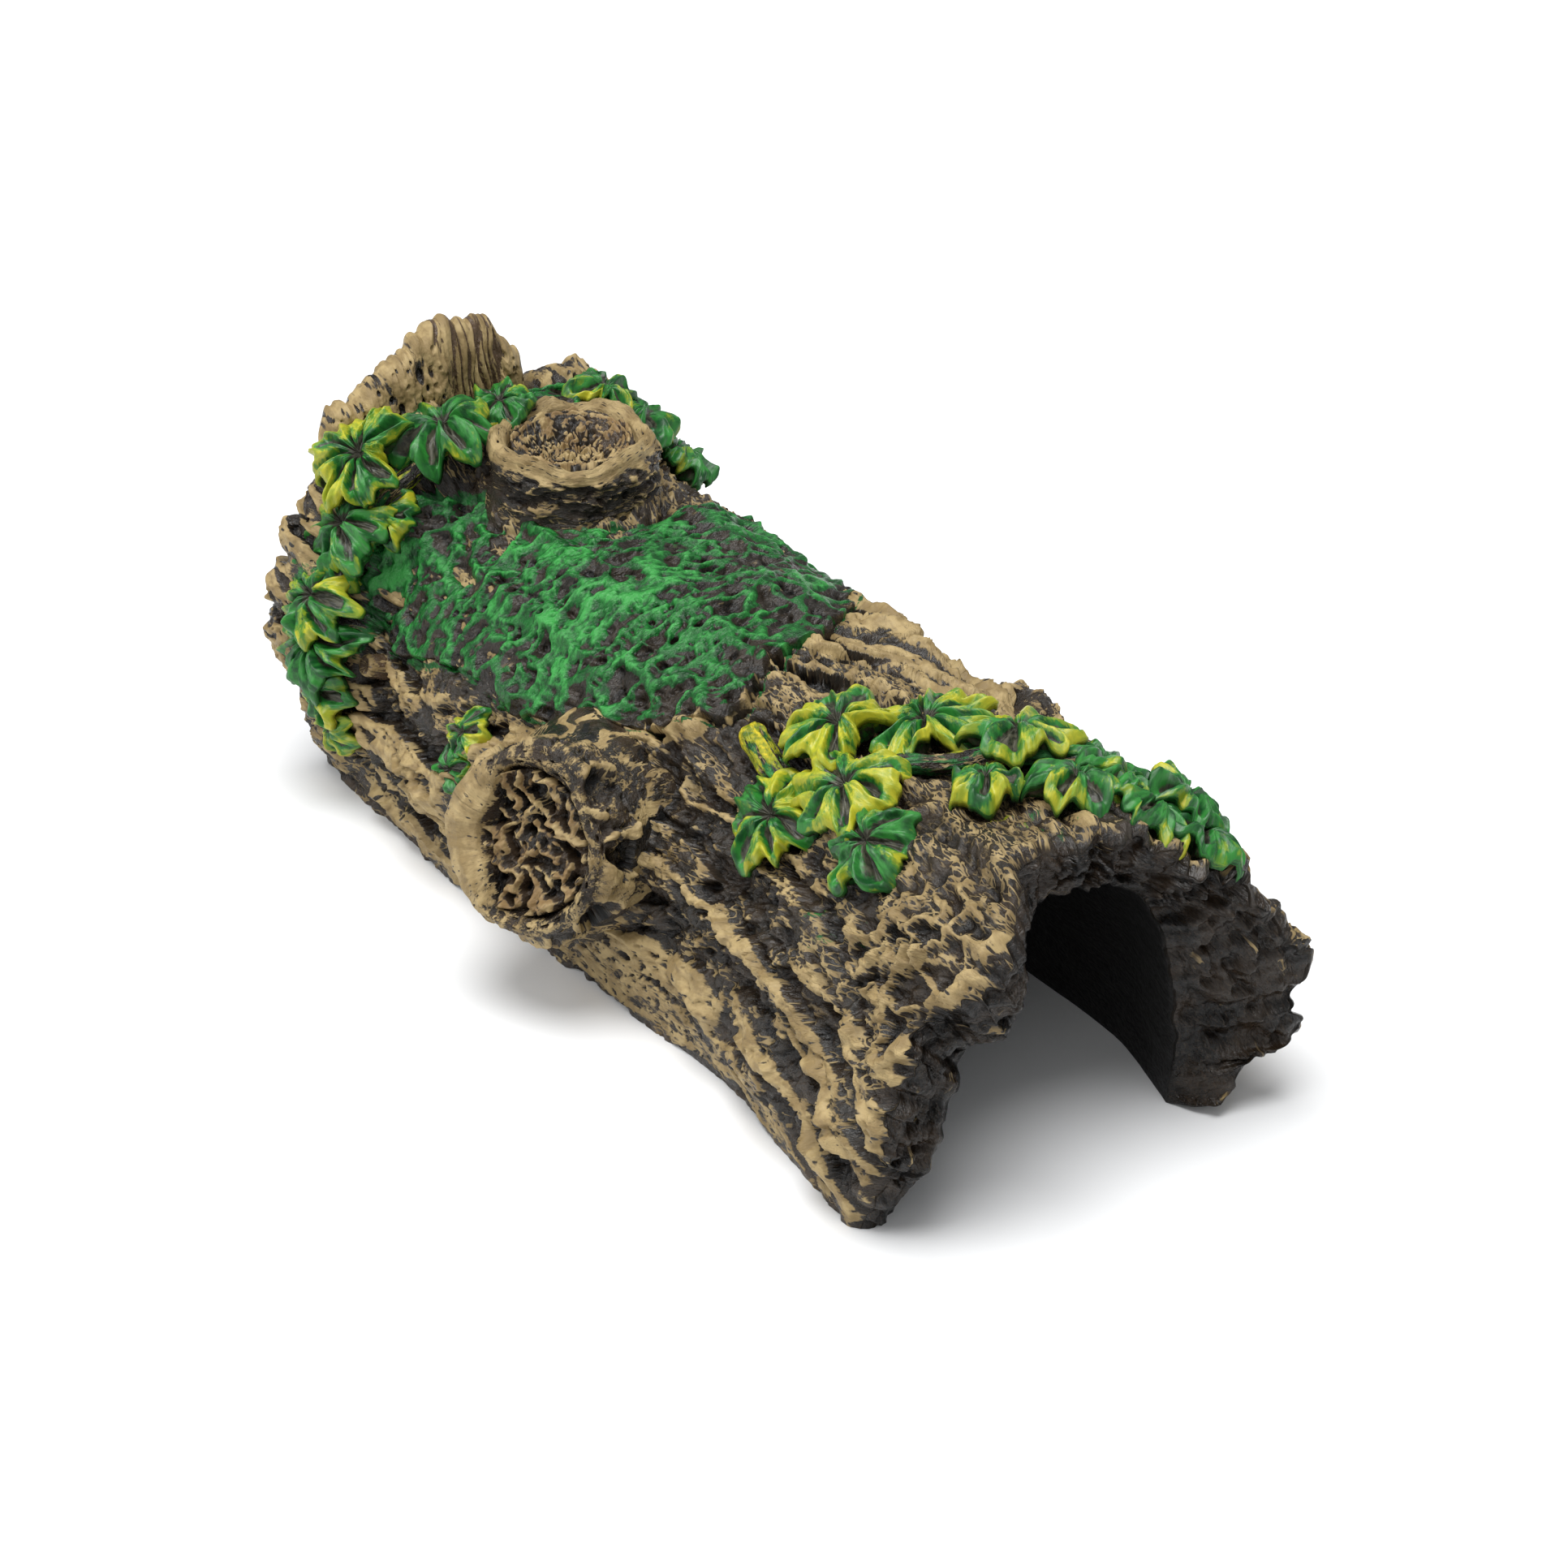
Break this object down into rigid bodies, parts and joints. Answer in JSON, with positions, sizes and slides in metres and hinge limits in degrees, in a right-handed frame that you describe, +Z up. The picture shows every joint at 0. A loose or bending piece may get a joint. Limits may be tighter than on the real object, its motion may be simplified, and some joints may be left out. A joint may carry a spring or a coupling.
{
  "type": "hollow log cave ornament",
  "caption": "Hollow half-log cave for an aquarium, open beneath and at both ends, with limb stubs, splinters, moss and lobed leaves.",
  "frame": {"origin": "middle of the footprint, at floor level", "axes": "+X along the log towards its mouth, +Y towards the log's right side (left when looking out of the mouth from inside), +Z up"},
  "size_m": [0.1846, 0.0968, 0.074],
  "materials": {
    "bark": "painted cast resin: near-black brown furrows with a tan dry-brushed coat on the ridges, low satin sheen",
    "cut_wood": "painted cast resin: tan and dark brown broken end grain, matte",
    "moss": "painted cast resin: green netted crust over dark pits, low satin sheen",
    "leaf": "painted cast resin: dark valleys, green flanks and yellow ridges, satin"
  },
  "bodies": {
    "root": {"log_shell": "bark", "rear_splinter_tall": "bark", "rear_splinter_upper": "bark", "rear_splinter_lower": "bark", "rear_splinter_right": "bark", "top_knot_ring": "bark", "top_knot_core": "cut_wood", "left_limb_ring": "bark", "left_limb_core": "cut_wood", "right_limb_ring": "bark", "right_limb_core": "cut_wood", "moss_mat": "moss", "moss_patch_rear": "moss", "vine_front": "leaf", "vine_rear": "leaf", "vine_right": "leaf", "twig_front": "leaf", "twig_peg": "bark", "leaf_front_01": "leaf", "leaf_front_02": "leaf", "leaf_front_03": "leaf", "leaf_front_04": "leaf", "leaf_front_05": "leaf", "leaf_front_06": "leaf", "leaf_front_07": "leaf", "leaf_front_08": "leaf", "leaf_front_09": "leaf", "leaf_front_10": "leaf", "leaf_front_11": "leaf", "leaf_front_12": "leaf", "leaf_front_13": "leaf", "leaf_middle_01": "leaf", "leaf_middle_02": "leaf", "leaf_rear_01": "leaf", "leaf_rear_02": "leaf", "leaf_rear_03": "leaf", "leaf_rear_04": "leaf", "leaf_rear_05": "leaf", "leaf_rear_06": "leaf", "leaf_rear_07": "leaf", "leaf_rear_08": "leaf", "leaf_rear_09": "leaf", "leaf_rear_10": "leaf", "leaf_right_01": "leaf", "leaf_right_02": "leaf", "leaf_right_03": "leaf"}
  },
  "joints": []
}
